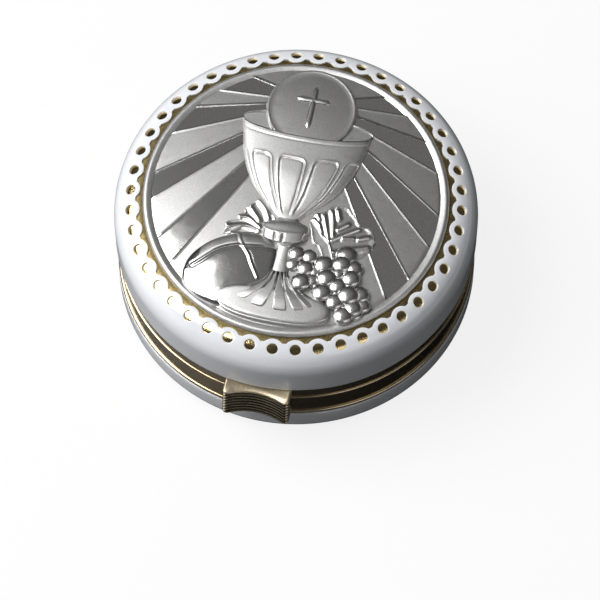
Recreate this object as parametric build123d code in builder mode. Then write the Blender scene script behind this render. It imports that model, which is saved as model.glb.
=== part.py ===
from build123d import *
import math
import os

# A round hinged pyx: two enamelled brass shells in gilt frames, white liners inside,
# a silver relief medal on the lid, a ridged thumb piece in front (-Y) and a hinge behind (+Y).
# Millimetres, origin at the centre of the underside, +Z up.

# Overall sizes
outer_diameter = 55.0
base_cup_height = 5.9
base_frame_height = 4.9
parting_gap = 0.2
lid_frame_height = 3.4
lid_dome_height = 9.3

# Shells and enamel
sheet = 0.6
enamel = 0.3
shoulder_round = 4.3
base_round = 2.8
glue_gap = 0.1
neck_gap = 0.2

# Frames
frame_inset = 0.4
frame_wall = 0.8
flange = 0.9
rim_width = 5.3
base_bead = 0.3
lid_bead = 0.2
bead_step = 0.08
bead_sides = 8
collar_width = 2.4
collar_height = 0.8
collar_clearance = 0.2
step_wall = 0.6

# Liners
liner_wall = 0.8
base_liner_round = 2.0
lid_liner_round = 5.0
liner_lift = 0.2
lid_liner_gap = 0.4

# Hinge
knuckle_count = 4
knuckle_length = 4.0
knuckle_diameter = 2.4
knuckle_gap = 0.12
hinge_inset = 0.85
hinge_clearance = 0.3
pin_diameter = 1.1
pin_clearance = 0.04
pin_round = 0.22

# Thumb piece and catch
thumb_width = 10.2
thumb_reach = 3.1
thumb_scoop_depth = 1.3
thumb_corner = 0.6
thumb_height = 5.7
thumb_gap = 0.1
thumb_clearance = 0.6
ridge_count = 7
ridge_depth = 0.3
catch_width = 1.8
catch_depth = 0.9
catch_height = 0.7
catch_round = 0.25
catch_clearance = 0.15

# Scalloped border of the lid enamel, set in from the outside of the lid
dot_count = 46
dot_inset = 2.5
dot_diameter = 1.55
dot_cut_length = 1.8
scallop_valley_inset = 3.35
scallop_tip_inset = 4.0
scallop_radius = 1.75

# Medal
medal_border = 4.45
medal_plate = 0.35
medal_rim_width = 0.95
medal_rim_height = 0.3
adhesive = 0.15
adhesive_margin = 0.8

# Relief on the medal, drawn for a medal of one diameter and scaled to the real one:
# x to the right and y towards the hinge, heights above the field
drawn_diameter = 46.1
host_diameter = 13.4
host_centre = (-0.8, 15.2)
host_height = 0.75
ray_height = 0.15
ray_bands = ((2, -11), (-23, -35), (-45, -54))
mouth_centre = (-0.8, 12.2)
mouth_width = 19.6
mouth_depth = 4.0
mouth_height = 0.5
chalice_stations = (
    (-17.8, 0.45, 7.0, 1.0),
    (-16.4, 0.45, 5.4, 1.0),
    (-15.0, 0.4, 3.5, 0.95),
    (-13.0, 0.25, 1.8, 0.85),
    (-11.0, 0.1, 1.2, 0.8),
    (-8.6, -0.1, 1.1, 0.8),
    (-8.0, -0.2, 1.6, 0.85),
    (-7.4, -0.35, 3.0, 1.1),
    (-6.6, -0.4, 3.5, 1.3),
    (-5.4, -0.4, 3.5, 1.3),
    (-4.8, -0.3, 2.6, 0.95),
    (-4.2, -0.2, 1.6, 0.8),
    (-3.5, -0.25, 2.3, 0.9),
    (-2.0, -0.35, 4.05, 1.1),
    (0.4, -0.4, 6.0, 1.25),
    (3.7, -0.6, 7.7, 1.4),
    (6.7, -0.65, 8.85, 1.45),
    (12.0, -0.8, 10.0, 1.1),
)
foot_centre = (0.45, -18.7)
foot_width = 16.8
foot_depth = 5.4
foot_height = 0.7
loaf_centre = (-7.2, -13.6)
loaf_length = 15.0
loaf_width = 11.0
loaf_tilt = 28
loaf_height = 1.0
loaf_crown = 32.0
grape_diameter = 2.5
grape_pitch = 2.25
grape_row_pitch = 1.85
grape_row_shift = 0.7
grape_top = (6.6, -8.9)
grape_rows = (5, 5, 5, 4, 3, 2)
leaf_height = 0.5
leaf_lobes = 5
right_leaf_centre = (8.0, -4.8)
right_leaf_size = 4.8
right_leaf_turn = 30
left_leaf_centre = (-6.2, -4.8)
left_leaf_size = 3.4
left_leaf_turn = 10

# Levels, from the table up
base_frame_bottom = base_cup_height
base_ledge = base_frame_bottom + base_frame_height
lid_ledge = base_ledge + parting_gap
parting = base_ledge + parting_gap / 2
lid_frame_top = lid_ledge + lid_frame_height
lid_top = lid_frame_top + lid_dome_height
lid_metal_top = lid_top - enamel
medal_bottom = lid_metal_top + adhesive
medal_field = medal_bottom + medal_plate
medal_rim_top = medal_field + medal_rim_height
collar_top = base_ledge + collar_height
recess_top = collar_top + collar_clearance

# Radii, from the outside in
outer_radius = outer_diameter / 2
metal_radius = outer_radius - enamel
frame_radius = outer_radius - frame_inset
frame_bore = frame_radius - frame_wall
neck_radius = frame_bore - glue_gap
neck_bore = neck_radius - sheet
opening_radius = outer_radius - rim_width
collar_radius = opening_radius + collar_width
recess_radius = collar_radius + collar_clearance
liner_radius = opening_radius + liner_wall
medal_radius = outer_radius - medal_border
field_radius = medal_radius - medal_rim_width
relief = 2 * medal_radius / drawn_diameter

# Hinge line, on the parting plane at the back
hinge_y = frame_radius - hinge_inset
knuckle_radius = knuckle_diameter / 2
pocket_radius = knuckle_radius + hinge_clearance
knuckle_pitch = knuckle_length + knuckle_gap
seat_length = knuckle_length + 2 * knuckle_gap
hinge_length = knuckle_count * knuckle_pitch - knuckle_gap
knuckle_centres = [(i - (knuckle_count - 1) / 2) * knuckle_pitch for i in range(knuckle_count)]
base_knuckle_centres = knuckle_centres[0::2]
lid_knuckle_centres = knuckle_centres[1::2]
hinge_plane = Plane(origin=(0, hinge_y, parting), x_dir=(0, 1, 0), z_dir=(1, 0, 0))

os.makedirs("parts", exist_ok=True)


def save(piece, name):
    piece.label = name
    export_step(piece, f"parts/{name}.step")


def corner(section, x, z):
    """The corner of a half section nearest to a point."""
    return section.vertices().sort_by_distance((x, z))[0]


# Base shell: a pressed cup, enamelled outside, necked in at the top to enter its frame
base_wall = sheet + enamel
base_neck_top = parting - pocket_radius - neck_gap
with BuildPart() as base_shell:
    with BuildSketch(Plane.XZ) as base_shell_section:
        with BuildLine():
            Polyline(
                (0, 0),
                (outer_radius, 0),
                (outer_radius, base_frame_bottom),
                (neck_radius, base_frame_bottom),
                (neck_radius, base_neck_top),
                (neck_bore, base_neck_top),
                (neck_bore, base_frame_bottom - sheet),
                (outer_radius - base_wall, base_frame_bottom - sheet),
                (outer_radius - base_wall, base_wall),
                (0, base_wall),
                close=True,
            )
        make_face()
        fillet(corner(base_shell_section, outer_radius, 0), radius=base_round)
        fillet(
            corner(base_shell_section, outer_radius - base_wall, base_wall),
            radius=base_round - base_wall,
        )
    revolve(axis=Axis.Z)
save(base_shell.part, "base_shell")


# Frames: turned rings with beads on the outer wall, a flat ledge and the collar or its recess
def cut_hinge_seats(own_centres, other_centres):
    """Seats for a frame's own knuckles and pockets for the other frame's, open to the back."""
    for centres, radius in ((own_centres, knuckle_radius), (other_centres, pocket_radius)):
        for x in centres:
            with BuildSketch(hinge_plane.offset(x - seat_length / 2)) as seat:
                Circle(radius)
                with Locations((hinge_inset, 0)):
                    Rectangle(2 * hinge_inset, 2 * radius)
            extrude(seat.sketch, amount=seat_length, mode=Mode.SUBTRACT)


with BuildPart() as base_frame:
    with BuildSketch(Plane.XZ):
        with BuildLine():
            Polyline(
                (frame_bore, base_frame_bottom),
                (frame_radius, base_frame_bottom),
                (frame_radius, base_ledge),
                (collar_radius, base_ledge),
                (collar_radius, collar_top),
                (opening_radius, collar_top),
                (opening_radius, base_ledge - flange),
                (frame_bore, base_ledge - flange),
                close=True,
            )
        make_face()
        with Locations((frame_radius, base_frame_bottom + bead_step + base_bead)):
            RegularPolygon(base_bead, bead_sides)
    revolve(axis=Axis.Z)
    cut_hinge_seats(base_knuckle_centres, lid_knuckle_centres)
save(base_frame.part, "base_frame")

catch_notch_width = catch_width + 2 * catch_clearance
catch_notch_depth = collar_radius + catch_depth + catch_clearance
with BuildPart() as lid_frame:
    with BuildSketch(Plane.XZ):
        with BuildLine():
            Polyline(
                (frame_bore, lid_frame_top),
                (frame_radius, lid_frame_top),
                (frame_radius, lid_ledge),
                (recess_radius, lid_ledge),
                (recess_radius, recess_top),
                (opening_radius, recess_top),
                (opening_radius, recess_top + flange),
                (recess_radius + step_wall, recess_top + flange),
                (recess_radius + step_wall, lid_ledge + flange),
                (frame_bore, lid_ledge + flange),
                close=True,
            )
        make_face()
        with Locations((frame_radius, lid_ledge + bead_step + lid_bead)):
            RegularPolygon(lid_bead, bead_sides)
    revolve(axis=Axis.Z)
    cut_hinge_seats(lid_knuckle_centres, base_knuckle_centres)
    with BuildSketch(Plane.XY.offset(lid_ledge)):
        with Locations((0, -collar_radius)):
            Rectangle(catch_notch_width, 2 * (catch_notch_depth - collar_radius))
    extrude(amount=recess_top - lid_ledge, mode=Mode.SUBTRACT)
save(lid_frame.part, "lid_frame")


# Liners: plain white cups whose rims butt against the frames
def turn_liner(floor, rim, corner_round):
    """A cup from its floor's outer face to its rim, rounded in the corner."""
    floor_inside = floor + math.copysign(liner_wall, rim - floor)
    with BuildSketch(Plane.XZ) as section:
        with BuildLine():
            Polyline(
                (0, floor),
                (liner_radius, floor),
                (liner_radius, rim),
                (opening_radius, rim),
                (opening_radius, floor_inside),
                (0, floor_inside),
                close=True,
            )
        make_face()
        fillet(corner(section, liner_radius, floor), radius=corner_round + liner_wall)
        fillet(corner(section, opening_radius, floor_inside), radius=corner_round)
    revolve(section.sketch, axis=Axis.Z)


with BuildPart() as base_liner:
    turn_liner(base_wall + liner_lift, base_ledge - flange, base_liner_round)
save(base_liner.part, "base_liner")

with BuildPart() as lid_liner:
    turn_liner(lid_metal_top - sheet - lid_liner_gap, recess_top + flange, lid_liner_round)
save(lid_liner.part, "lid_liner")

# Catch: a small rounded pip soldered on the base ledge against the collar, in front
with BuildPart() as base_catch:
    with BuildSketch(Plane.XY.offset(base_ledge)):
        with Locations((0, -collar_radius)):
            Rectangle(catch_width, 2 * catch_depth)
        Circle(collar_radius, mode=Mode.SUBTRACT)
    extrude(amount=catch_height)
    front_edges = base_catch.edges().filter_by(Axis.Z).group_by(Axis.Y)[0]
    fillet(front_edges, radius=catch_round)
    fillet(base_catch.faces().sort_by(Axis.Z)[-1].edges().group_by(Axis.Y)[0], radius=catch_round)
save(base_catch.part, "base_catch")


# Hinge: four tubes, alternately on the base and on the lid, around one pin
def knuckle_tube(centre):
    """One hinge tube, centred at x = centre on the hinge line."""
    with BuildSketch(hinge_plane.offset(centre - knuckle_length / 2)) as ring:
        Circle(knuckle_radius)
        Circle(pin_diameter / 2 + pin_clearance, mode=Mode.SUBTRACT)
    extrude(ring.sketch, amount=knuckle_length)


for owner, centres in (("base", base_knuckle_centres), ("lid", lid_knuckle_centres)):
    for number, centre in enumerate(centres, start=1):
        with BuildPart() as knuckle:
            knuckle_tube(centre)
        save(knuckle.part, f"{owner}_knuckle_{number}")

with BuildPart() as hinge_pin:
    with BuildSketch(hinge_plane.offset(-hinge_length / 2)):
        Circle(pin_diameter / 2)
    extrude(amount=hinge_length)
    fillet(hinge_pin.edges().group_by(Axis.X)[0], radius=pin_round)
    fillet(hinge_pin.edges().group_by(Axis.X)[-1], radius=pin_round)
save(hinge_pin.part, "hinge_pin")

# Lid shell: a pressed dome with a flat top, necked in below to enter its frame
shoulder_radius = outer_radius - shoulder_round
shoulder_z = lid_top - shoulder_round
lid_neck_bottom = parting + pocket_radius + neck_gap


def dome_line(depth):
    """Line of the dome from the flat top to the frame, at a depth below the enamel's face."""
    return (
        (shoulder_radius, lid_top - depth),
        (
            shoulder_radius + (shoulder_round - depth) * math.sin(math.pi / 4),
            shoulder_z + (shoulder_round - depth) * math.cos(math.pi / 4),
        ),
        (outer_radius - depth, shoulder_z),
    )


with BuildPart() as lid_shell:
    with BuildSketch(Plane.XZ):
        with BuildLine():
            outside = dome_line(enamel)
            inside = dome_line(enamel + sheet)
            Line((0, lid_metal_top), outside[0])
            ThreePointArc(*outside)
            Polyline(
                outside[2],
                (metal_radius, lid_frame_top),
                (neck_radius, lid_frame_top),
                (neck_radius, lid_neck_bottom),
                (neck_bore, lid_neck_bottom),
                (neck_bore, lid_frame_top + sheet),
                (metal_radius - sheet, lid_frame_top + sheet),
                inside[2],
            )
            ThreePointArc(*inside)
            Polyline(inside[0], (0, lid_metal_top - sheet), (0, lid_metal_top))
        make_face()
    revolve(axis=Axis.Z)
save(lid_shell.part, "lid_shell")

# Lid enamel: a fired coat over the dome, scalloped round the medal, with a ring of round windows
dot_ring_radius = outer_radius - dot_inset
dot_slope = math.degrees(math.asin((dot_ring_radius - shoulder_radius) / shoulder_round))
dot_z = shoulder_z + shoulder_round * math.cos(math.radians(dot_slope))
scallop_centre = outer_radius - scallop_tip_inset + scallop_radius
with BuildPart() as lid_enamel:
    with BuildSketch(Plane.XZ):
        with BuildLine():
            outside = dome_line(0)
            inside = dome_line(enamel)
            ThreePointArc(*outside)
            Polyline(
                outside[2],
                (outer_radius, lid_frame_top),
                (metal_radius, lid_frame_top),
                inside[2],
            )
            ThreePointArc(*inside)
            Line(inside[0], outside[0])
        make_face()
    revolve(axis=Axis.Z)
    with BuildSketch(Plane.XY.offset(shoulder_z)):
        Circle(outer_radius - scallop_valley_inset)
        with PolarLocations(scallop_centre, dot_count):
            Circle(scallop_radius, mode=Mode.SUBTRACT)
    extrude(amount=shoulder_round + enamel, mode=Mode.SUBTRACT)
    with Locations((0, 0, dot_z)):
        with PolarLocations(dot_ring_radius, dot_count):
            Cylinder(dot_diameter / 2, dot_cut_length, rotation=(0, dot_slope, 0), mode=Mode.SUBTRACT)
save(lid_enamel.part, "lid_enamel")

# Thumb piece: a lug with a finger scoop and stacked ridges, on the front of the lid frame
thumb_top = lid_frame_top - thumb_gap
thumb_bottom = thumb_top - thumb_height
thumb_front = -(frame_radius + thumb_reach)
thumb_back = -(frame_bore - thumb_reach)
thumb_seat_bottom = lid_ledge + bead_step + 2 * lid_bead + thumb_gap
ridge_pitch = thumb_height / ridge_count
ridge_taper = math.degrees(math.atan(ridge_depth / (ridge_pitch / 2)))
with BuildPart() as thumb_piece:
    for i in range(ridge_count):
        ridge_middle = thumb_bottom + (i + 0.5) * ridge_pitch
        with BuildSketch(Plane.XY.offset(ridge_middle)) as ridge_outline:
            with BuildLine():
                half = thumb_width / 2
                Polyline(
                    (half, thumb_front), (half, thumb_back), (-half, thumb_back), (-half, thumb_front)
                )
                ThreePointArc(
                    (-half, thumb_front), (0, thumb_front + thumb_scoop_depth), (half, thumb_front)
                )
            make_face()
            fillet(ridge_outline.vertices().group_by(Axis.Y)[0], radius=thumb_corner)
        extrude(ridge_outline.sketch, amount=ridge_pitch / 2, taper=ridge_taper)
        extrude(ridge_outline.sketch, amount=-ridge_pitch / 2, taper=ridge_taper)
    with Locations((0, 0, thumb_seat_bottom)):
        Cylinder(
            frame_radius,
            thumb_height,
            align=(Align.CENTER, Align.CENTER, Align.MIN),
            mode=Mode.SUBTRACT,
        )
        Cylinder(
            frame_radius + thumb_clearance,
            thumb_height,
            align=(Align.CENTER, Align.CENTER, Align.MAX),
            mode=Mode.SUBTRACT,
        )
save(thumb_piece.part, "thumb_piece")

# Medal adhesive: a thin disc between the lid's flat top and the medal
with BuildPart() as medal_adhesive:
    with BuildSketch(Plane.XY.offset(lid_metal_top)):
        Circle(medal_radius - adhesive_margin)
    extrude(amount=adhesive)
save(medal_adhesive.part, "medal_adhesive")

# Relief forms of the medal, each cut off level with the field
field_plane = Plane.XY.offset(medal_field)
ray_length = 2 * medal_radius


def drawn_at(point):
    """Place of a drawn point on the real medal."""
    return point[0] * relief, point[1] * relief


ray_x, ray_y = drawn_at(host_centre)

with BuildPart() as chalice:
    for y, x, half_width, rise in chalice_stations:
        station = Plane(origin=(x * relief, y * relief, medal_field), x_dir=(1, 0, 0), z_dir=(0, 1, 0))
        with BuildSketch(station):
            Ellipse(half_width * relief, rise)
    loft(ruled=True)
    split(bisect_by=field_plane, keep=Keep.TOP)

with BuildPart() as loaf:
    with BuildSketch(field_plane):
        with Locations(drawn_at(loaf_centre)):
            Ellipse(loaf_length / 2 * relief, loaf_width / 2 * relief, rotation=loaf_tilt)
    extrude(amount=loaf_height)
    with Locations((*drawn_at(loaf_centre), medal_field + loaf_height - loaf_crown)):
        Sphere(loaf_crown, mode=Mode.INTERSECT)

with BuildPart() as grapes:
    for row, count in enumerate(grape_rows):
        x = grape_top[0] + row * grape_row_shift
        y = grape_top[1] - row * grape_row_pitch
        with Locations((*drawn_at((x, y)), medal_field)):
            with GridLocations(grape_pitch * relief, 0, count, 1):
                Sphere(grape_diameter / 2 * relief)
    split(bisect_by=field_plane, keep=Keep.TOP)


def vine_leaf(centre, size, turn):
    """A five-lobed leaf lying on the field."""
    half = size / 2 * relief
    with BuildSketch(field_plane) as outline:
        with Locations(drawn_at(centre)):
            Circle(half)
            with PolarLocations(half, leaf_lobes, start_angle=turn):
                Ellipse(half, half / 2)
    extrude(outline.sketch, amount=leaf_height)


# Medal: a pressed plate with a raised rim, rays from the host, chalice, loaf, grapes and vine leaves
with BuildPart() as medal:
    with BuildSketch(Plane.XY.offset(medal_bottom)):
        Circle(medal_radius)
    extrude(amount=medal_plate)
    with BuildSketch(field_plane):
        Circle(medal_radius)
        Circle(field_radius, mode=Mode.SUBTRACT)
    extrude(amount=medal_rim_height)
    add(chalice.part)
    with BuildSketch(field_plane):
        for band in ray_bands:
            for side in (1, -1):
                with BuildLine():
                    Polyline(
                        (ray_x, ray_y),
                        *(
                            (
                                ray_x + side * ray_length * math.cos(math.radians(edge)),
                                ray_y + ray_length * math.sin(math.radians(edge)),
                            )
                            for edge in band
                        ),
                        close=True,
                    )
                make_face()
        Circle(field_radius, mode=Mode.INTERSECT)
    extrude(amount=ray_height)
    with BuildSketch(field_plane):
        with Locations(drawn_at(mouth_centre)):
            Ellipse(mouth_width / 2 * relief, mouth_depth / 2 * relief)
    extrude(amount=mouth_height)
    with BuildSketch(field_plane):
        with Locations(drawn_at(host_centre)):
            Circle(host_diameter / 2 * relief)
    extrude(amount=host_height)
    vine_leaf(right_leaf_centre, right_leaf_size, right_leaf_turn)
    vine_leaf(left_leaf_centre, left_leaf_size, left_leaf_turn)
    add(loaf.part)
    add(grapes.part)
    with BuildSketch(field_plane):
        with Locations(drawn_at(foot_centre)):
            Ellipse(foot_width / 2 * relief, foot_depth / 2 * relief)
    extrude(amount=foot_height)
save(medal.part, "medal")
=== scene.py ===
import math

import bpy
import numpy as np
from mathutils import Matrix, Vector


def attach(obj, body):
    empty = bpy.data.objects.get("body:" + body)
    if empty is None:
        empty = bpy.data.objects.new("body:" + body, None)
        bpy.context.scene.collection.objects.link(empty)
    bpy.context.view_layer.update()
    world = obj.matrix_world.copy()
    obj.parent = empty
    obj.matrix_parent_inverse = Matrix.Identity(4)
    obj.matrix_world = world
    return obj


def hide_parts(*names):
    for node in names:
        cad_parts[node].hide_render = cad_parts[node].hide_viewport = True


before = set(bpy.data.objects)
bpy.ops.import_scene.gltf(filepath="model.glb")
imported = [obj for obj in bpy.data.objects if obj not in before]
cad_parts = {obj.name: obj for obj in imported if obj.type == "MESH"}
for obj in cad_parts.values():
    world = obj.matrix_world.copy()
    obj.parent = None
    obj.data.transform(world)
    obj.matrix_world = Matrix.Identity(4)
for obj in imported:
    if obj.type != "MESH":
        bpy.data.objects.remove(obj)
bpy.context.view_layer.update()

# Base shell: a pressed brass cup with white enamel fired on its outside.
# The enamel is thick and glossy, with a faint orange peel and a slightly uneven white.
mm = 0.001


def adder(tree):
    """A function that adds a node to a tree and sets or links its sockets."""

    def add(kind, sockets=None, **settings):
        node = tree.nodes.new(kind)
        for setting, value in settings.items():
            setattr(node, setting, value)
        for socket, source in (sockets or {}).items():
            if isinstance(source, bpy.types.NodeSocket):
                tree.links.new(source, node.inputs[socket])
            else:
                node.inputs[socket].default_value = source
        return node

    return add


def new_finish(name, colour, metallic, roughness):
    """A material, a function that adds nodes to it, and one that feeds its shader or its surface."""
    material = bpy.data.materials.new(name)
    material.use_nodes = True
    tree = material.node_tree
    shader = tree.nodes["Principled BSDF"]
    shader.inputs["Base Color"].default_value = (*colour, 1)
    shader.inputs["Metallic"].default_value = metallic
    shader.inputs["Roughness"].default_value = roughness

    def feed(socket, source):
        target = tree.nodes["Material Output"] if socket == "Surface" else shader
        tree.links.new(source, target.inputs[socket])

    return material, adder(tree), feed


def on_piece(add):
    """Place on the piece, in its own coordinates."""
    return add("ShaderNodeTexCoord").outputs["Object"]


def ramp(add, value, start, end, low=0.0, high=1.0):
    """A value between start and end, mapped to one from low to high."""
    sockets = {"Value": value, "From Min": start, "From Max": end, "To Min": low, "To Max": high}
    return add("ShaderNodeMapRange", sockets).outputs["Result"]


def cloudy(add, scale, detail, low, high, place=None):
    """Noise of the given scale per metre, mapped to values from low to high."""
    sockets = {"Vector": place or on_piece(add), "Scale": scale, "Detail": detail}
    return ramp(add, add("ShaderNodeTexNoise", sockets).outputs["Fac"], 0.3, 0.7, low, high)


def tint(add, factor, first, second):
    """Colour between two by a factor. Each is a colour or the output of a node."""
    first, second = (c if isinstance(c, bpy.types.NodeSocket) else (*c, 1) for c in (first, second))
    return add("ShaderNodeMix", {"Factor": factor, 6: first, 7: second}, data_type="RGBA").outputs[2]


def uneven(add, height, strength, distance):
    """Bump of a height field."""
    bump = add("ShaderNodeBump", {"Height": height, "Strength": strength, "Distance": distance})
    return bump.outputs["Normal"]


enamel_white, add, feed = new_finish("white_enamel", (0.80, 0.82, 0.86), 0.0, 0.10)
feed("Base Color", tint(add, cloudy(add, 160, 3, 0, 1), (0.79, 0.81, 0.85), (0.83, 0.845, 0.87)))
feed("Roughness", cloudy(add, 420, 2, 0.06, 0.13))
feed("Normal", uneven(add, cloudy(add, 700, 1, 0, 1), 0.05, 0.1 * mm))


def turned(profile, segments=240):
    """Points and faces of a turned piece, from (radius, height); radius 0 closes it on the axis."""
    points, faces, rows = [], [], []
    for radius, height in profile:
        if radius == 0:
            rows.append([len(points)] * segments)
            points.append((0, 0, height))
            continue
        rows.append(list(range(len(points), len(points) + segments)))
        for k in range(segments):
            angle = 2 * math.pi * k / segments
            points.append((radius * math.cos(angle), radius * math.sin(angle), height))
    for low, high in zip(rows, rows[1:]):
        for k in range(segments):
            face = [low[k], low[(k + 1) % segments], high[(k + 1) % segments], high[k]]
            faces.append(tuple(dict.fromkeys(face)))
    return points, faces


def rounded(centre, radius, start, end, steps):
    """Points of an arc, angles in degrees from the outward direction."""
    angles = np.radians(np.linspace(start, end, steps + 1))
    return [(centre[0] + radius * math.cos(a), centre[1] + radius * math.sin(a)) for a in angles]


def piece(name, points, faces, material, sharp=40):
    """A mesh object at the origin, from points in millimetres."""
    mesh = bpy.data.meshes.new(name)
    mesh.from_pydata((np.asarray(points) * mm).tolist(), [], faces)
    mesh.materials.append(material)
    mesh.shade_smooth()
    mesh.set_sharp_from_angle(angle=math.radians(sharp))
    thing = bpy.data.objects.new(name, mesh)
    bpy.context.scene.collection.objects.link(thing)
    return thing


base_radius, base_top, base_wall, base_flat = 27.5, 5.9, 0.9, 24.0
base_round, edge_round = 2.8, 0.3
neck_radius, neck_top, brass_sheet = 26.2, 9.2, 0.6
round_centre = (base_radius - base_round, base_round)
edge_centre = (base_radius - edge_round, base_top - edge_round)
base_profile = [(0, 0), (base_flat, 0)]
base_profile += rounded(round_centre, base_round, -90, 0, 12)
base_profile += [(base_radius, (base_round + edge_centre[1]) / 2)]
base_profile += rounded(edge_centre, edge_round, 0, 90, 5)
base_profile += [(neck_radius, base_top), (neck_radius, neck_top), (neck_radius - brass_sheet, neck_top)]
base_profile += [(neck_radius - brass_sheet, base_top - brass_sheet)]
base_profile += [(base_radius - base_wall, base_top - brass_sheet)]
base_profile += rounded(round_centre, base_round - base_wall, 0, -90, 6)
base_profile += [(0, base_wall)]
base_enamel = piece("base_enamel", *turned(base_profile), enamel_white)
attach(base_enamel, "base")
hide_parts("base_shell")

# Liners: thin cups of white plastic pressed into both shells, with a satin skin.
# They keep the hosts off the metal, and their gloss is a little uneven.
liner_white, add, feed = new_finish("white_liner", (0.80, 0.80, 0.79), 0.0, 0.35)
feed("Base Color", tint(add, cloudy(add, 140, 4, 0, 1), (0.77, 0.77, 0.76), (0.82, 0.82, 0.81)))
feed("Roughness", cloudy(add, 300, 3, 0.28, 0.42))
feed("Normal", uneven(add, cloudy(add, 1500, 2, 0, 1), 0.08, 0.1 * mm))


def dress(node_names, material):
    """Gives CAD nodes their finish."""
    for name in node_names:
        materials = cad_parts[name].data.materials
        materials.clear()
        materials.append(material)


dress(["base_liner", "lid_liner"], liner_white)

# Frames, catch and hinge: turned brass rings, gilt and polished, with fine turning marks.
# A round bead runs along each frame and stops at the hinge, whose tubes sit in seats at the
# back on one brass pin. The catch is a pip on the ledge of the base frame.
gilt, add, feed = new_finish("gilt_brass", (0.80, 0.66, 0.45), 1.0, 0.2)
stretched = add("ShaderNodeMapping", {"Vector": on_piece(add), "Scale": (0.02, 0.02, 1.0)})
turning_marks = cloudy(add, 9000, 3, 0, 1, stretched.outputs["Vector"])
feed("Base Color", tint(add, cloudy(add, 260, 4, 0, 1), (0.52, 0.425, 0.285), (0.58, 0.48, 0.33)))
feed("Roughness", cloudy(add, 900, 4, 0.14, 0.22))
feed("Normal", uneven(add, turning_marks, 0.06, 0.04 * mm))
dress(["base_frame", "lid_frame", "base_catch", "hinge_pin"], gilt)
dress(["base_knuckle_1", "base_knuckle_2", "lid_knuckle_1", "lid_knuckle_2"], gilt)
frame_radius, hinge_half = 27.1, math.radians(20)
bead_start, bead_end = math.pi / 2 + hinge_half, 5 * math.pi / 2 - hinge_half
bead_steps, bead_sides = 241, 24


def quads(rows, columns, start=0, closed=False):
    """Faces of a grid of points, given row by row; a closed grid joins its last column to its first."""
    faces = []
    for r in range(rows - 1):
        for c in range(columns if closed else columns - 1):
            a, b = start + r * columns + c, start + r * columns + (c + 1) % columns
            faces.append((a, b, b + columns, a + columns))
    return faces


def round_bead(name, body, radius, level):
    """A round bead on the wall of a frame, from one side of the hinge to the other."""
    points = []
    for turn in np.linspace(bead_start, bead_end, bead_steps):
        for a in np.linspace(2 * math.pi, 0, bead_sides, endpoint=False):
            out = frame_radius + radius * math.cos(a)
            points.append((out * math.cos(turn), out * math.sin(turn), level + radius * math.sin(a)))
    faces = quads(bead_steps, bead_sides, closed=True)
    faces.append(tuple(range(bead_sides))[::-1])
    faces.append(tuple(range(len(points) - bead_sides, len(points))))
    bead = piece(name, points, faces, gilt)
    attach(bead, body)


round_bead("base_bead", "base", radius=0.31, level=6.28)
round_bead("lid_bead", "lid", radius=0.21, level=11.28)


# Lid shell: a pressed brass dome with a flat top, gilt and closed below by a short neck.
# It shows as a frosted band round the medal, and bright through the round windows of the enamel.
def joined(add, operation, first, second):
    """Two values joined by a sum, a product or the like."""
    return add("ShaderNodeMath", {0: first, 1: second}, operation=operation).outputs[0]


windows_start = 24.18 * mm
frosted_gilt, add, feed = new_finish("frosted_gilt", (0.5, 0.4, 0.22), 1.0, 0.3)
flat_place = add("ShaderNodeVectorMath", {0: on_piece(add), 1: (1, 1, 0)}, operation="MULTIPLY")
from_axis = add("ShaderNodeVectorMath", {0: flat_place.outputs["Vector"]}, operation="LENGTH")
in_windows = joined(add, "GREATER_THAN", from_axis.outputs["Value"], windows_start)
band_gold = tint(add, cloudy(add, 3000, 4, 0, 1), (0.16, 0.12, 0.05), (0.33, 0.26, 0.12))
window_gold = tint(add, cloudy(add, 900, 3, 0, 1), (0.66, 0.50, 0.24), (0.78, 0.62, 0.32))
feed("Base Color", tint(add, in_windows, band_gold, window_gold))
band_rough, window_rough = cloudy(add, 2200, 3, 0.28, 0.42), cloudy(add, 1500, 3, 0.08, 0.16)
rough = add("ShaderNodeMix", {"Factor": in_windows, 2: band_rough, 3: window_rough}, data_type="FLOAT")
feed("Roughness", rough.outputs[0])
feed("Normal", uneven(add, cloudy(add, 4500, 3, 0, 1), 0.2, 0.04 * mm))
top_radius, shoulder_level, dome_round = 23.2, 19.4, 4.0
dome_foot, lid_neck_foot = 14.4, 12.6
shoulder_centre = (top_radius, shoulder_level)
dome_radius, dome_top = top_radius + dome_round, shoulder_level + dome_round
shell_profile = [(0, dome_top - brass_sheet), (top_radius, dome_top - brass_sheet)]
shell_profile += rounded(shoulder_centre, dome_round - brass_sheet, 90, 0, 12)
shell_profile += [(dome_radius - brass_sheet, dome_foot + brass_sheet)]
shell_profile += [(neck_radius - brass_sheet, dome_foot + brass_sheet)]
shell_profile += [(neck_radius - brass_sheet, lid_neck_foot), (neck_radius, lid_neck_foot)]
shell_profile += [(neck_radius, dome_foot), (dome_radius, dome_foot)]
shell_profile += rounded(shoulder_centre, dome_round, 0, 90, 24)
shell_profile += [(0, dome_top)]
lid_dome = piece("lid_dome", *turned(shell_profile), frosted_gilt)
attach(lid_dome, "lid")
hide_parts("lid_shell")

# Lid enamel: white enamel over the dome, with a scalloped edge round the medal and a ring of
# round windows. One window with its scallop is drawn, and the ring is that pattern repeated.
dot_count, dot_ring, dot_radius = 46, 25.0, 0.83
enamel_depth = 0.3
shoulder = dome_round + enamel_depth
half_sector = math.pi / dot_count * dot_ring
dot_line = shoulder * math.asin((dot_ring - top_radius) / shoulder)
lobe_radius, lobe_tip, valley = 1.75, 23.5, 24.15
skirt_start, skirt_straight = 3.3, 5.0
roll_width, roll_depth = 0.16, 0.03
near_border, farthest_border, border_steps = 0.02, 4.0, 400


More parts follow.
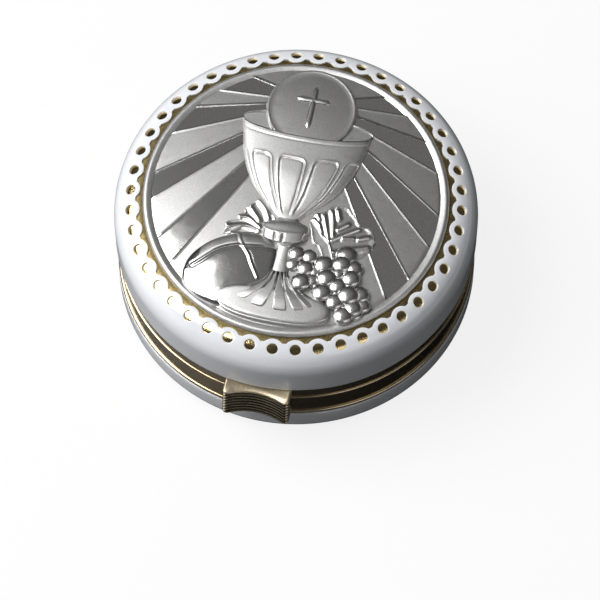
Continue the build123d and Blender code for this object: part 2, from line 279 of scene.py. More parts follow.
def edge_line(across):
    """Distance down the dome to the scalloped edge, at a place across the sector."""
    radius = lobe_tip + lobe_radius - np.sqrt(np.maximum(lobe_radius**2 - across**2, 0.0))
    return shoulder * np.arcsin((np.minimum(radius, valley) - top_radius) / shoulder)


def reach(angle):
    """Distance from the window's centre to the border of its sector, in a direction."""
    steps = np.linspace(dot_radius, farthest_border, border_steps)
    across = steps * math.cos(angle)
    down = dot_line + steps * math.sin(angle)
    outside = (np.abs(across) > half_sector) | (down > skirt_start) | (down < edge_line(across))
    return steps[np.argmax(outside)]


def on_dome(across, down, sink):
    """Place on the dome's enamel, or below it, from sector coordinates."""
    angle = across / dot_ring
    slope = min(down / shoulder, math.pi / 2)
    past = max(down - shoulder * math.pi / 2, 0)
    radius = top_radius + (shoulder - sink) * math.sin(slope)
    height = shoulder_level + (shoulder - sink) * math.cos(slope) - past
    return radius * math.cos(angle), radius * math.sin(angle), height


def rolled(distance):
    """How far the enamel sinks near its edge."""
    return roll_depth * max(1 - max(distance, 0) / roll_width, 0) ** 2


side_spokes, skirt_spokes, edge_spokes = 8, 12, 24
first_skirt, last_skirt = side_spokes, side_spokes + skirt_spokes
first_edge = last_skirt + side_spokes
corner_up = math.atan2(edge_line(half_sector) - dot_line, half_sector)
corner_down = math.atan2(skirt_start - dot_line, half_sector)
spokes = np.concatenate([
    np.linspace(corner_up, corner_down, side_spokes, endpoint=False),
    np.linspace(corner_down, math.pi - corner_down, skirt_spokes, endpoint=False),
    np.linspace(math.pi - corner_down, math.pi - corner_up, side_spokes, endpoint=False),
    np.linspace(math.pi - corner_up, 2 * math.pi + corner_up, edge_spokes, endpoint=False),
])
shares = [0, 0, 0.05, 0.12, 0.22, 0.36, 0.5, 0.64, 0.78, 0.88, 0.95, 1.0]
border_row = len(shares) - 1
sector_points, sector_faces, grid = [], [], {}
for s, angle in enumerate(spokes):
    border = reach(angle)
    cosine, sine = math.cos(angle), math.sin(angle)
    if abs(border * cosine) > half_sector - near_border:
        border = half_sector / abs(cosine)
    elif dot_line + border * sine > skirt_start - near_border:
        border = (skirt_start - dot_line) / sine
    for k, share in enumerate(shares):
        out = dot_radius + (border - dot_radius) * share
        across, down = out * cosine, dot_line + out * sine
        to_edge = down - edge_line(min(abs(across), half_sector))
        sink = enamel_depth if k == 0 else rolled(out - dot_radius) + rolled(to_edge)
        grid[s, k] = len(sector_points)
        sector_points.append(on_dome(across, down, sink))
for s in range(len(spokes)):
    after = (s + 1) % len(spokes)
    for k in range(border_row):
        sector_faces.append((grid[s, k], grid[after, k], grid[after, k + 1], grid[s, k + 1]))

scallop = list(range(first_edge, len(spokes))) + [0]
lip = []
for s in scallop:
    cosine, sine = math.cos(spokes[s]), math.sin(spokes[s])
    out = half_sector / abs(cosine) if s in (first_edge, 0) else reach(spokes[s])
    lip.append(len(sector_points))
    sector_points.append(on_dome(out * cosine, dot_line + out * sine, enamel_depth))
for i, (s, after) in enumerate(zip(scallop, scallop[1:])):
    sector_faces.append((grid[s, border_row], grid[after, border_row], lip[i + 1], lip[i]))

shoulder_end = shoulder * math.pi / 2
skirt_foot = shoulder_end + skirt_straight
skirt = [(down, 0) for down in (3.8, 4.4, 5.0, 5.6, 6.2, shoulder_end, 7.6, 8.6, 9.6, 10.6, 11.4)]
skirt += [(skirt_foot - 0.16, 0.02), (skirt_foot - 0.05, 0.09), (skirt_foot, 0.2), (skirt_foot, 0.35)]
skirt_across = [(skirt_start - dot_line) / math.tan(spokes[s]) for s in range(first_skirt, last_skirt + 1)]
skirt_across[0], skirt_across[-1] = half_sector, -half_sector
upper = [grid[s, border_row] for s in range(first_skirt, last_skirt + 1)]
for down, sink in skirt:
    lower = list(range(len(sector_points), len(sector_points) + len(upper)))
    sector_points += [on_dome(across, down, sink) for across in skirt_across]
    for i in range(skirt_spokes):
        sector_faces.append((upper[i], upper[i + 1], lower[i + 1], lower[i]))
    upper = lower
one_window = piece("one_window", sector_points, sector_faces, enamel_white)


def new_pattern(name, inputs):
    """A geometry node tree with named inputs, and a function that adds nodes to it."""
    tree = bpy.data.node_groups.new(name, "GeometryNodeTree")
    for label, kind in inputs.items():
        tree.interface.new_socket(label, in_out="INPUT", socket_type="NodeSocket" + kind)
    tree.interface.new_socket("Geometry", in_out="OUTPUT", socket_type="NodeSocketGeometry")
    return tree, adder(tree)


def grown(name, seed_object, node_tree, values):
    """Plain mesh object from an object and a node tree with its input values."""
    modifier = seed_object.modifiers.new("pattern", "NODES")
    modifier.node_group = node_tree
    for socket in node_tree.interface.items_tree:
        if socket.name in values:
            modifier[socket.identifier] = values[socket.name]
    evaluated = seed_object.evaluated_get(bpy.context.evaluated_depsgraph_get())
    mesh = bpy.data.meshes.new_from_object(evaluated)
    mesh.name = name
    bpy.data.objects.remove(seed_object)
    thing = bpy.data.objects.new(name, mesh)
    bpy.context.scene.collection.objects.link(thing)
    return thing


ring_tree, add = new_pattern(
    "ring_of_windows", {"Pattern": "Geometry", "Windows": "Int", "Finish": "Material"}
)
given = add("NodeGroupInput").outputs
places = add("GeometryNodePoints", {"Count": given["Windows"]})
share_of_turn = joined(add, "DIVIDE", add("GeometryNodeInputIndex").outputs[0], given["Windows"])
heading = add("ShaderNodeCombineXYZ", {"Z": joined(add, "MULTIPLY", share_of_turn, 2 * math.pi)})
copies = add("GeometryNodeInstanceOnPoints", {
    "Points": places.outputs[0], "Instance": given["Pattern"], "Rotation": heading.outputs[0],
})
real = add("GeometryNodeRealizeInstances", {0: copies.outputs[0]})
welded = add("GeometryNodeMergeByDistance", {"Geometry": real.outputs[0], "Distance": 0.01 * mm})
coloured = add("GeometryNodeSetMaterial", {"Geometry": welded.outputs[0], "Material": given["Finish"]})
add("NodeGroupOutput", {0: coloured.outputs[0]})
lid_enamel = grown("lid_enamel_coat", one_window, ring_tree, {"Windows": dot_count, "Finish": enamel_white})
lid_enamel.data.shade_smooth()
lid_enamel.data.set_sharp_from_angle(angle=math.radians(50))
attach(lid_enamel, "lid")
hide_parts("lid_enamel")

# Thumb piece: a cast and gilt lug soldered to the front of the lid frame, over the parting line.
# Its top is smooth and dished between two raised horns. Ridges for the thumbnail run round its
# front, and the grooves between them get painted shade: their colour is darkened nearly to black.
cast_gilt, add, feed = new_finish("cast_gilt", (0.58, 0.49, 0.35), 1.0, 0.2)
level_of_lug = add("ShaderNodeSeparateXYZ", {"Vector": on_piece(add)}).outputs["Z"]
front_or_top = ramp(add, level_of_lug, 13.95 * mm, 14.05 * mm, 0.14, 0.4)
feed("Roughness", joined(add, "MULTIPLY", front_or_top, cloudy(add, 1800, 4, 0.85, 1.15)))
bright_gilt = tint(add, cloudy(add, 2600, 4, 0, 1), (0.50, 0.42, 0.29), (0.66, 0.57, 0.42))
# Painted shade: points deep in the grooves between the ridges are coloured nearly black.
groove_shade = add("ShaderNodeAttribute", attribute_name="groove").outputs["Fac"]
feed("Base Color", tint(add, groove_shade, bright_gilt, (0.035, 0.027, 0.018)))
feed("Normal", uneven(add, cloudy(add, 2400, 3, 0, 1), 0.1, 0.05 * mm))
thumb_half, thumb_root, thumb_front = 5.1, -26.7, -30.2
thumb_bottom, thumb_top = 8.6, 14.25
thumb_lean, scoop, corner_round, corner_width = 0.75, 1.0, 0.6, 0.75
ridge_count, ridge_depth, top_band = 7, 0.7, 0.55
horn_rise, dish_depth, top_inset = 0.3, 0.12, 0.25
ridges_end, horns_start = thumb_top - 0.5, thumb_top - 0.6


def thumb_line(inset, level):
    """Outline of the lug at a level, from its left root round the scooped front to its right root."""
    half = thumb_half - inset
    front = thumb_front + inset + thumb_lean * (level - thumb_bottom) / (thumb_top - thumb_bottom)
    flank = [(half, y) for y in np.linspace(thumb_root, front + 0.9, 8)]
    for a in np.linspace(0.2, 1.3, 5):
        x, y = half - corner_round * (1 - math.cos(a)), front + corner_round * (1 - math.sin(a))
        flank.append((x, y))
    scooped = half - corner_width
    middle = [(x, front + scoop * (1 - (x / scooped) ** 2)) for x in np.linspace(-scooped, scooped, 25)]
    return [(-x, y) for x, y in flank] + middle + flank[::-1]


def horn(x):
    """Height of the dished top between its horns, above or below its level."""
    return horn_rise * (abs(x) / thumb_half) ** 3 - dish_depth


def mark_points(mesh, name, values):
    """Stores a value for each point of a mesh."""
    marks = mesh.attributes.new(name, "FLOAT", "POINT")
    marks.data.foreach_set("value", np.array(values, np.float32))


thumb_rows = []
ridge_half = (thumb_top - top_band - thumb_bottom) / ridge_count / 2
for k in range(ridge_count):
    for a in np.radians(np.linspace(-78, 78, 11)):
        level = thumb_bottom + ridge_half * (2 * k + 1 + 0.98 * math.sin(a))
        thumb_rows.append((ridge_depth * (1 - math.cos(a)), level))
for inset, below in ((0.10, 0.45), (0.03, 0.3), (0.08, 0.12), (top_inset, 0)):
    thumb_rows.append((inset, thumb_top - below))
# The second list holds, for each point, how strongly the painted shade of the grooves darkens it.
thumb_points, thumb_groove_shade = [], []
for inset, level in thumb_rows:
    for x, y in thumb_line(inset, level):
        thumb_points.append((x, y, level + (horn(x) if level > horns_start else 0)))
        thumb_groove_shade.append(np.clip((inset - 0.01) / 0.13, 0, 1) if level < ridges_end else 0)
top_line = thumb_line(top_inset, thumb_top)
for share in (0.35, 0.7, 1.0):
    for x, y in top_line:
        thumb_points.append((x * (1 - 0.04 * share), y + (thumb_root - y) * share, thumb_top + horn(x)))
        thumb_groove_shade.append(0)
thumb_faces = quads(len(thumb_points) // len(top_line), len(top_line))
thumb_faces.append(tuple(range(len(top_line)))[::-1])
thumb_lug = piece("thumb_lug", thumb_points, thumb_faces, cast_gilt, 50)
mark_points(thumb_lug.data, "groove", thumb_groove_shade)
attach(thumb_lug, "lid")
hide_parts("thumb_piece")

# Medal: thin silver pressed into relief over a stiff backing, glued on the lid's flat top.
# Rays, chalice, host, loaf and vine are raised; some faces are left satin, others polished bright.
silver, add, feed = new_finish("relief_silver", (0.63, 0.627, 0.623), 1.0, 0.4)
grain = add("ShaderNodeAttribute", attribute_name="grain").outputs["Fac"]
feed("Base Color", tint(add, cloudy(add, 4500, 3, 0, 1), (0.60, 0.597, 0.593), (0.73, 0.727, 0.723)))
feed("Roughness", joined(add, "MULTIPLY", grain, cloudy(add, 1400, 4, 0.92, 1.08)))
grit = joined(add, "MULTIPLY", cloudy(add, 9000, 2, 0, 1), grain)
wave = joined(add, "MULTIPLY", cloudy(add, 260, 2, 0, 1), 0.9)
feed("Normal", uneven(add, joined(add, "ADD", grit, wave), 0.15, 0.04 * mm))
field_level, field_radius, field_crown = 23.9, 22.0, 1.15
satin_grain, polished_grain, matte_grain = 0.365, 0.12, 0.50
drawn_level, lean_right, lean_front = 0.2, 0.112, 0.51
root_depth = 0.05
medal_points, medal_faces, medal_grain = [], [], []


def bulge(x, y):
    """Slight crown of the whole medal."""
    return field_crown * (1 - (x**2 + y**2) / field_radius**2)


def leaned(x, y, rise):
    """Place of a form that stands a rise above the drawing, pulled to the front by it."""
    lift = rise + bulge(x, y) - drawn_level
    return x + lean_right * lift, y - lean_front * lift


def lay(x, y, height, roughness, rise=0.0, closed=False):
    """Adds a grid of relief points: arrays of rows; the height is above the field."""
    x, y, height, roughness, rise = np.broadcast_arrays(x, y, height, roughness, rise)
    x, y = leaned(x, y, rise)
    medal_faces.extend(quads(*x.shape, len(medal_points), closed))
    medal_points.extend(np.stack([x, y, field_level + height + bulge(x, y)], -1).reshape(-1, 3).tolist())
    medal_grain.extend(roughness.reshape(-1).tolist())


# Rim of the medal: a satin bevel that rises to a rounded bead, given by radius and height
rim_grain = 0.45
turn_angles = np.linspace(0, 2 * math.pi, 256, endpoint=False)
rim = np.array([
    (21.6, -0.05), (21.68, 0.03), (21.8, 0.09), (22.0, 0.17), (22.2, 0.25), (22.38, 0.31), (22.52, 0.34),
    (22.66, 0.335), (22.8, 0.29), (22.92, 0.2), (23.02, 0.08), (23.05, -0.05), (23.05, -0.35), (22.2, -0.35),
])
x, y = rim[:, 0:1] * np.cos(turn_angles), rim[:, 0:1] * np.sin(turn_angles)
lay(x, y, rim[:, 1:2], rim_grain, drawn_level - bulge(x, y), True)


# Rays: flat bands that spread from behind the host, satin ones raised and polished ones sunk between them
def step(low, high, value):
    """Smooth step from 0 to 1."""
    t = np.clip((value - low) / (high - low), 0, 1)
    return t * t * (3 - 2 * t)


ray_x, ray_y, ray_start, satin_rise = -0.7, 16.5, 3.0, 0.11
# Angles in degrees at which a satin and a polished ray meet
ray_edges = [
    16, 2, -10.4, -21.6, -34.5, -43.3, -53.1, -60.4,
    -116.2, -123.5, -134.1, -141.3, -154.3, -165.6, -176.6, -193.8,
]
# Across an edge, from the satin side: distance from the edge, height and grain
edge_section = [
    (0.34, satin_rise, satin_grain), (0.27, satin_rise, satin_grain), (0.1, 0.17, 0.3), (0.0, 0.18, 0.2),
    (-0.08, 0.03, 0.2), (-0.2, 0.0, polished_grain), (-0.27, 0.0, polished_grain),
]
columns = []
for i, edge in enumerate(ray_edges):
    satin_before = i % 2 == 0
    section = edge_section if satin_before else [(-d, h, g) for d, h, g in reversed(edge_section)]
    columns += [(edge, d, h, g) for d, h, g in section]
    following = ray_edges[i + 1] if i + 1 < len(ray_edges) else ray_edges[0] - 360
    between = max(3, int((edge - following) / 4))
    flat = (0.0, polished_grain) if satin_before else (satin_rise, satin_grain)
    columns += [(angle, 0.0, *flat) for angle in np.linspace(edge, following, between + 2)[1:-1]]
angle, aside, rise, roughness = np.array(columns).T
along_x, along_y = np.cos(np.radians(angle)), np.sin(np.radians(angle))
from_x, from_y = ray_x - along_y * aside, ray_y + along_x * aside
dot = from_x * along_x + from_y * along_y
to_rim = -dot + np.sqrt(dot**2 - (from_x**2 + from_y**2 - field_radius**2))
share = np.concatenate([np.linspace(0, 0.9, 24), np.linspace(0.92, 1.0, 9)])[:, None]
out = ray_start + (to_rim - ray_start) * share
fading = 1 - step(0.965, 1.0, share)
lay(from_x + along_x * out, from_y + along_y * out, rise * fading, roughness, 0.0, True)

# Host: a thin disc with a rounded edge and a plain raised cross, standing in the cup
host_x, host_y, host_rise = -0.8, 15.2, 0.9
host = np.array([
    (0.02, 1.0), (2, 0.985), (4, 0.94), (5.6, 0.88), (6.2, 0.85), (6.4, 0.89), (6.55, 0.93), (6.7, 0.9),
    (6.82, 0.75), (6.88, 0.5), (6.9, -0.1),
])
x, y = host_x + host[:, 0:1] * np.cos(turn_angles), host_y + host[:, 0:1] * np.sin(turn_angles)
lay(x, y, host[:, 1:2], satin_grain, host_rise, True)


def through(points, count):
    """Smooth line of count points through the given ones."""
    points = np.array(points, float)
    ends = np.vstack([2 * points[0] - points[1], points, 2 * points[-1] - points[-2]])
    t = np.linspace(0, len(points) - 1, count)
    i = np.minimum(t.astype(int), len(points) - 2)
    f = (t - i)[:, None]
    p0, p1, p2, p3 = ends[i], ends[i + 1], ends[i + 2], ends[i + 3]
    square, cube = 2 * p0 - 5 * p1 + 4 * p2 - p3, 3 * p1 - p0 - 3 * p2 + p3
    return 0.5 * (2 * p1 + (p2 - p0) * f + square * f**2 + cube * f**3)


def bar(line, half, rise, base, roughness):
    """A raised round bar along a line, on a base of a given height."""
    line = through(line, 6 * len(line))
    along = np.gradient(line, axis=0)
    along /= np.linalg.norm(along, axis=1)[:, None]
    wide = half * np.sqrt(np.clip(1 - np.linspace(-1, 1, len(line)) ** 8, 0.001, 1))[:, None]
    angle = np.linspace(-math.pi / 2, math.pi / 2, 9)
    side = wide * np.sin(angle)
    x, y = line[:, 0:1] - along[:, 1:2] * side, line[:, 1:2] + along[:, 0:1] * side
    lay(x, y, base + rise * (wide / half) * np.cos(angle) - root_depth, roughness, base)


cross_half, cross_rise, cross_base, cross_grain = 0.5, 0.32, 0.97, 0.3
upright = [(host_x, host_y + along) for along in (-3.4, 0, 4.0)]
arms = [(host_x + along, host_y + 1.5) for along in (-2.6, 0, 2.6)]
for line in (upright, arms):
    bar(line, cross_half, cross_rise, cross_base, cross_grain)

# Mouth of the bowl: the inside seen behind the front lip, with the thin back lip
panel_pitch, panel_half, panel_middle = 35, 12.8, -8.4
mouth_x, mouth_y, mouth_half, mouth_grain = -0.7, 12.0, 9.95, 0.4
panel_edges = [panel_middle + panel_pitch * k + panel_half * side for k in range(-2, 3) for side in (-1, 1)]
degrees = [np.linspace(-90, 90, 61)] + [edge + np.linspace(-2.4, 2.4, 11) for edge in panel_edges]
degrees = np.unique(np.concatenate(degrees))
degrees = degrees[np.abs(degrees) <= 90]
phi = np.radians(degrees[np.insert(np.diff(degrees) > 0.15, 0, True)])
back_share = np.array([0, 0.5, 0.85, 0.9, 0.95, 1.0, 1.04, 1.06])[:, None]
mouth_height = np.array([0.46, 0.46, 0.46, 0.58, 0.66, 0.66, 0.52, -0.1])[:, None]
x = mouth_x + mouth_half * (0.985 + 0.02 * back_share) * np.sin(phi)
y = mouth_y + (-1.6 + 3.9 * back_share) * np.cos(phi) + 0.15 * np.sin(phi)
lay(x, y, mouth_height, mouth_grain, mouth_height * np.cos(phi) ** 0.5)


# Chalice bowl: a deep cup seen a little from above, with a rolled lip and sunk round-topped panels
def inside_of(sides, ends, corner):
    """Distance inside a round-cornered panel, from the distances inside its sides and its ends."""
    return corner - np.hypot(np.maximum(corner - sides, 0), np.maximum(corner - ends, 0))


def ridge(distance, width):
    """Share of a soft ridge's or groove's height, at a distance from its line."""
    return np.exp(-((distance / width) ** 2))


bowl_bottom, bowl_top, bowl_sag = -4.0, 12.0, 1.75
panel_corner, panel_depth, crease_depth, panel_edge = 0.9, 0.12, 0.12, 0.07
lip_start, lip_rise, lip_groove = 0.945, 0.06, 0.04
# Level, left edge and right edge
bowl = through([
    (bowl_bottom, -1.8, 1.2), (-3.2, -2.8, 1.9), (-2.2, -3.9, 2.8), (-1.0, -5.0, 4.0), (1.0, -6.8, 5.8),
    (3.0, -8.0, 6.9), (5.0, -8.95, 7.8), (7.0, -9.6, 8.4), (9.0, -10.05, 8.8), (11.0, -10.5, 9.1),
    (bowl_top, -10.7, 9.25),
], 112)
level, left, right = (bowl[:, k:k + 1] for k in range(3))
middle, half = (left + right) / 2, (right - left) / 2
grown_up = (level - bowl_bottom) / (bowl_top - bowl_bottom)
sag = 0.1 + bowl_sag * grown_up**3.3
x = middle + half * np.sin(phi)
y = level - sag * np.cos(phi) + 0.015 * half * np.sin(phi)
crown = (0.6 + 0.85 * step(0, 0.55, grown_up)) * np.cos(phi) ** 0.8
from_middle = (np.degrees(phi) - panel_middle + panel_pitch / 2) % panel_pitch - panel_pitch / 2
panel_top = 6.5 + 0.1 * np.maximum(x, 0)
inside = inside_of(np.radians(panel_half - np.abs(from_middle)) * half, panel_top - y, panel_corner)
sunk = step(-0.2, 0.28, inside) * step(-3.4, -1.6, level)
edge_roll, crease = ridge(inside + 0.17, 0.15), ridge(inside - 0.14, 0.1)
outlined = (panel_edge * edge_roll - crease_depth * crease) * step(-3.4, -1.0, level)
rolled_lip = lip_rise * step(lip_start, lip_start + 0.02, grown_up)
rolled_lip = rolled_lip - lip_groove * ridge(grown_up - (lip_start - 0.005), 0.012)
facing_front = np.clip(np.cos(phi), 0, 1) ** 0.5
height = crown + (outlined - panel_depth * sunk) * facing_front + rolled_lip - root_depth
lay(x, y, height, matte_grain, crown)
lip_x, lip_y, lip_height = x[-1], y[-1], height[-1]
x = np.stack([lip_x, lip_x, lip_x * 0.995, lip_x * 0.99])
y = np.stack([lip_y, lip_y + 0.12, lip_y + 0.24 * np.cos(phi), lip_y + 0.3 * np.cos(phi)])
height = np.stack([lip_height, lip_height - 0.02, lip_height - 0.12, np.minimum(lip_height, 0.2)])
lay(x, y, height, mouth_grain, crown[-1])

# Knop and stem: a panelled knob between two collars on a plain stem that spreads into the foot
knop_top, knop_foot, knop_groove, stem_grain = -5.42, -6.95, 0.26, 0.44
knop_grooves = (-62, -23, -3, 54, 68)
# Level, middle, half width, sag of the front and height
stem = through([
    (-3.6, -0.3, 1.5, 0.1, 0.85), (-4.05, -0.3, 1.7, 0.15, 0.95), (-4.4, -0.35, 2.5, 0.2, 1.16),
    (-4.75, -0.4, 3.3, 0.35, 1.28), (-5.15, -0.4, 3.5, 0.62, 1.38), (-5.4, -0.4, 3.55, 0.7, 1.46),
    (-6.0, -0.4, 3.5, 0.75, 1.45), (-6.6, -0.4, 3.4, 0.8, 1.42), (-6.95, -0.4, 3.1, 0.8, 1.25),
    (-7.2, -0.35, 2.4, 0.7, 0.9), (-7.5, -0.25, 1.6, 0.6, 0.8), (-7.8, -0.1, 1.35, 0.45, 0.92),
    (-8.3, 0.05, 1.1, 0.3, 0.78), (-10.3, 0.1, 1.08, 0.2, 0.75), (-12.4, 0.15, 1.3, 0.2, 0.8),
], 120)
level, middle, half, sag, crown = (stem[:, k:k + 1] for k in range(5))
phi = np.radians(np.linspace(-90, 90, 85))
x = middle + half * np.sin(phi)
y = level - sag * np.cos(phi) + 0.05 * half * np.sin(phi)
on_band = step(knop_top, knop_top - 0.28, level) * step(knop_foot, knop_foot + 0.25, level)
groove = sum(ridge((phi - math.radians(at)) * half, 0.16) for at in knop_grooves)
height = crown * np.cos(phi) ** 0.55 - knop_groove * groove * on_band - root_depth
lay(x, y, height, stem_grain, crown * np.cos(phi) ** 0.7)


# Foot: a fluted flare on a broad disc with a double edge and blunt ends
def blunt(value):
    """Sine or cosine of a blunter oval."""
    return np.sign(value) * np.abs(value) ** 0.8


foot_x, foot_y, foot_half, foot_deep, foot_edge_grain = 0.4, -18.0, 8.4, 2.5, 0.36
disc_share = np.array([0.02, 0.5, 0.8, 0.92, 0.97, 1.0])[:, None]
disc_height = np.array([1.2, 1.2, 1.19, 1.18, 1.13, 1.03])[:, None]
x = foot_x + foot_half * disc_share * blunt(np.cos(turn_angles))
y = foot_y + foot_deep * disc_share * blunt(np.sin(turn_angles))
lay(x, y, disc_height, satin_grain, disc_height, True)
edge_drop = np.array([0, 0.12, 0.3, 0.45, 0.55, 0.7, 0.9, 1.05])[:, None]
edge_height = np.array([1.03, 0.84, 0.7, 0.68, 0.48, 0.4, 0.3, -0.05])[:, None]
phi = np.radians(np.linspace(-180, 180, 241))
front_share = np.clip(np.cos(phi), 0, 1) ** 0.5
x = foot_x + (foot_half + 0.1 * edge_drop) * blunt(np.sin(phi))
y = foot_y - foot_deep * blunt(np.cos(phi)) - edge_drop * (0.12 + 0.88 * front_share)
lay(x, y, edge_height, foot_edge_grain, edge_height)
# Level, middle, half width, sag of the front and height
flare = through([
    (-12.0, 0.12, 1.2, 0.15, 0.85), (-12.8, 0.15, 1.5, 0.25, 1.0), (-14.0, 0.22, 2.3, 0.45, 1.22),
    (-15.1, 0.25, 4.0, 0.85, 1.42), (-15.9, 0.25, 5.8, 1.35, 1.52), (-16.5, 0.25, 7.1, 1.8, 1.45),
    (-16.9, 0.3, 7.8, 2.15, 1.25),
], 84)
level, middle, half, sag, crown = (flare[:, k:k + 1] for k in range(5))
phi = np.radians(np.linspace(-88, 88, 191))
x = middle + half * np.sin(phi)
y = level - sag * np.cos(phi) ** 1.2
petal_root, petal_start, petal_rise, petal_groove, flare_sink = -11.6, -12.3, 0.5, 0.2, 0.42
flare_grain, petal_grain = 0.26, 0.38
# Angle in degrees, half width and level of the end
petals = [
    (-64, 0.6, -16.4), (-43, 0.95, -16.7), (-18, 1.1, -16.85), (9, 1.1, -16.85), (33, 1.0, -16.75),
    (52, 0.8, -16.6), (67, 0.5, -16.4),
]
petal, groove = np.zeros(x.shape), np.zeros(x.shape)
for at, wide, end in petals:
    narrowed = wide * np.clip((level - petal_root) / (end - petal_root), 0.1, 1)
    in_sides = narrowed - np.abs(phi - math.radians(at)) * half * 0.97
    in_ends = np.minimum(level - end, petal_start - level)
    inside = inside_of(in_sides, in_ends, np.minimum(0.4, narrowed * 0.8))
    petal = np.maximum(petal, step(-0.07, 0.12, inside))
    groove = np.maximum(groove, ridge(inside + 0.1, 0.09))
height = crown * np.cos(phi) ** 0.45 - flare_sink + petal_rise * petal - petal_groove * groove
roughness = flare_grain + (petal_grain - flare_grain) * petal
lay(x, y, height, roughness, crown * np.cos(phi) ** 0.6)

# Loaf: a smooth polished round loaf behind the foot, with a raised crust line and one that crosses it
loaf_outline = through([
    (-14.0, -15.4), (-13.7, -13.6), (-12.8, -11.8), (-11.0, -9.8), (-9.0, -8.5), (-7.3, -7.7), (-5.0, -7.3),
    (-2.6, -7.6), (-1.0, -9.0), (-0.6, -11), (-0.8, -15.5), (-3, -18.6), (-7.2, -20.0), (-9.4, -19.8),
    (-11.2, -19.2), (-12.8, -18.2), (-13.7, -17.0), (-14.0, -15.4),
], 221)[:-1]
loaf_x, loaf_y, loaf_base, loaf_rise, loaf_grain = -7.0, -13.6, 0.2, 0.95, 0.15
line_width, line_rise, line_grain, crust_grain = 0.17, 0.10, 0.1, 0.23
share = np.concatenate([np.linspace(0.01, 0.8, 50), np.linspace(0.812, 1.0, 18), [1.01]])[:, None]
x = loaf_x + (loaf_outline[:, 0] - loaf_x) * share
y = loaf_y + (loaf_outline[:, 1] - loaf_y) * share


def away(x, y, line):
    """Distance of points from a line through given points."""
    best = np.full(np.shape(x), 99.0)
    for (ax, ay), (bx, by) in zip(line, line[1:]):
        length_squared = (bx - ax) ** 2 + (by - ay) ** 2
        t = np.clip(((x - ax) * (bx - ax) + (y - ay) * (by - ay)) / length_squared, 0, 1)
        best = np.minimum(best, np.hypot(x - ax - t * (bx - ax), y - ay - t * (by - ay)))
    return best


crust_line = through([
    (-12.7, -14.3), (-12.0, -13.6), (-9.6, -11.1), (-7.0, -9.8), (-5.7, -9.7), (-3.4, -9.35), (-1.0, -9.3),
], 40)
cross_line = through([
    (-7.0, -7.9), (-6.6, -8.8), (-5.9, -9.8), (-4.9, -11.0), (-4.2, -12.3), (-2.8, -14.5),
], 40)
above_crust = step(0.0, 0.35, y - np.interp(x, crust_line[:, 0], crust_line[:, 1])) * step(-12.6, -11.6, x)
from_lines = np.minimum(away(x, y, crust_line), away(x, y, cross_line))
line, beside = ridge(from_lines, line_width), ridge(from_lines - 0.36, 0.13)
dome = loaf_base + loaf_rise * np.sqrt(np.clip(1 - share**2.6, 0, 1)) - 0.3 * step(0.995, 1.01, share)
height = dome + line_rise * line - 0.04 * beside
roughness = loaf_grain + line_grain * line + crust_grain * above_crust
lay(x, y, height, roughness, loaf_base + 0.6 * (1 - share**2), True)

# Vine leaves: lobed leaves with raised veins, one each side of the stem, and the vine they grow on
leaf_height, leaf_grain, tooth_count, tooth_depth = 0.5, 0.32, 32, 0.035
vein_width, vein_rise, blade_sink, edge_rise = 0.14, 0.13, 0.14, 0.09


def vine_leaf(outline, middle, veins):
    """A toothed leaf inside its outline, with ridges along its veins."""
    line = through(outline + outline[:1], 257)[:-1]
    teeth = tooth_depth * np.abs(np.linspace(0, tooth_count, len(line)) % 1 * 2 - 1)
    share = np.concatenate([np.linspace(0.02, 0.94, 38), [0.965, 0.985, 1.0, 1.01]])[:, None]
    out = share * (1 + teeth * share**4)
    x = middle[0] + (line[:, 0] - middle[0]) * out
    y = middle[1] + (line[:, 1] - middle[1]) * out
    to_vein = np.min([away(x, y, through(vein, 12)) for vein in veins], axis=0)
    height = leaf_height - blade_sink * step(0.05, 0.7, to_vein) + vein_rise * ridge(to_vein, vein_width)
    height = height + edge_rise * step(0.8, 0.95, share) - (leaf_height + 0.4) * step(0.975, 1.01, share)
    lay(x, y, height, leaf_grain, leaf_height, True)


right_outline = [
    (3.0, -3.2), (3.5, -2.1), (4.4, -1.5), (5.0, -1.0), (5.7, -0.25), (6.7, 0.05), (7.8, 0.1), (8.6, -0.6),
    (9.6, -1.5), (10.6, -2.8), (11.8, -2.9), (12.7, -3.8), (13.1, -5.3), (12.6, -6.6), (11.0, -8.2),
    (8.8, -8.6), (7.2, -8.2), (6.3, -6.6), (5.0, -5.4), (4.2, -4.4),
]
right_veins = [
    [(6.3, -6.2), (5.5, -4.2), (4.75, -2.2)], [(6.7, -5.2), (6.3, -3.0), (5.8, -1.3)],
    [(7.1, -2.2), (6.6, -0.9)], [(6.7, -6.0), (8.2, -4.8), (10.3, -3.4)],
    [(7.3, -7.9), (9.5, -7.0), (12.2, -6.1)], [(3.6, -3.2), (4.4, -3.9), (4.9, -5.0)],
    [(7.3, -4.0), (8.6, -2.9)], [(8.3, -5.3), (9.8, -5.0)], [(10.6, -5.0), (12.0, -4.4)],
    [(3.7, -2.2), (4.2, -2.9)],
]
left_outline = [
    (-5.2, -1.3), (-5.9, -2.0), (-6.4, -2.5), (-6.3, -3.0), (-7.1, -3.3), (-6.9, -4.0), (-7.9, -4.6),
    (-7.5, -5.3), (-9.3, -6.0), (-9.2, -6.9), (-9.4, -7.9), (-8.2, -7.9), (-6.0, -7.6), (-4.1, -6.8),
    (-3.0, -5.2), (-2.2, -4.2), (-3.6, -2.8),
]
left_veins = [
    [(-4.2, -6.1), (-6.1, -4.9), (-7.5, -4.8)], [(-3.3, -4.3), (-4.0, -3.0), (-5.2, -1.8)],
    [(-4.4, -6.5), (-6.6, -6.2), (-9.0, -6.8)], [(-4.6, -4.9), (-6.3, -3.0)], [(-7.2, -6.3), (-8.4, -7.6)],
]
vine_leaf(right_outline, (7.4, -4.2), right_veins)
vine_leaf(left_outline, (-5.4, -5.0), left_veins)
vine = [(2.9, -3.4), (3.5, -5.2), (4.1, -6.8), (5.0, -7.3), (5.6, -8.3), (6.0, -9.2)]
bar(vine, half=0.2, rise=0.3, base=0.4, roughness=0.2)
